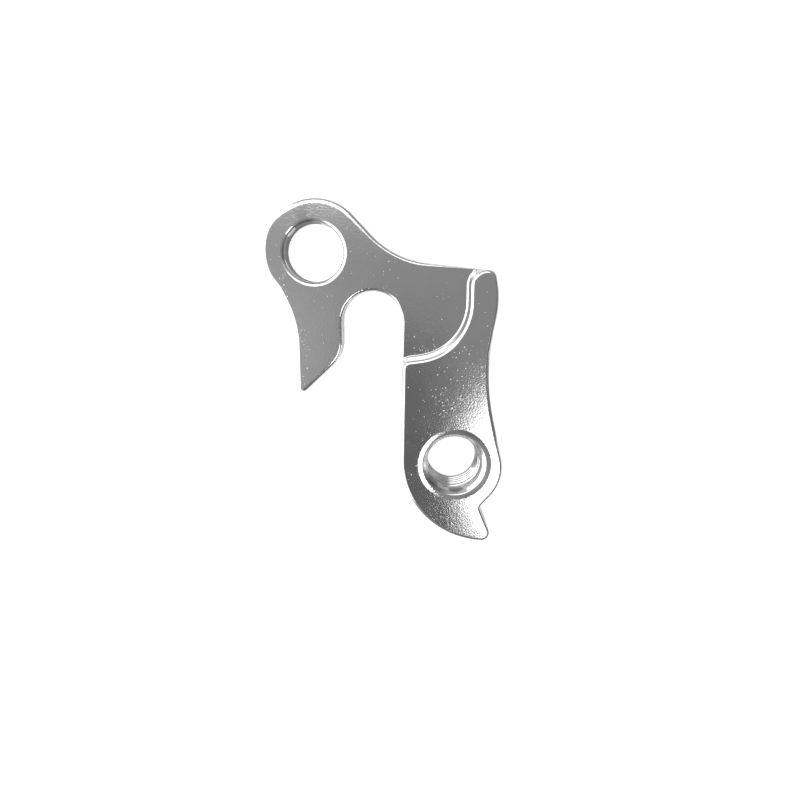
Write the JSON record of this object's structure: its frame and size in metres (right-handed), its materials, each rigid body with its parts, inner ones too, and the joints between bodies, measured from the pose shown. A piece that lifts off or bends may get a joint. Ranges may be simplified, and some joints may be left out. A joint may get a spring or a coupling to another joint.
{
  "type": "bicycle derailleur hanger",
  "caption": "Flat cast bicycle derailleur hanger: a plate with a bolt eye, an axle slot and a finger, stepping up to a thick leg with a countersunk thread and a stop hook.",
  "frame": {"origin": "on the axis of the derailleur's thread, in the flat outer face", "axes": "+X to the rear of the bicycle, +Y up, +Z across the bicycle towards the wheel, out of the stepped face"},
  "size_m": [0.0414, 0.0602, 0.008],
  "materials": {
    "cast_aluminium": "tumbled satin casting with bright machined chamfers and thread"
  },
  "bodies": {
    "root": {"hanger": "cast_aluminium"}
  },
  "joints": []
}
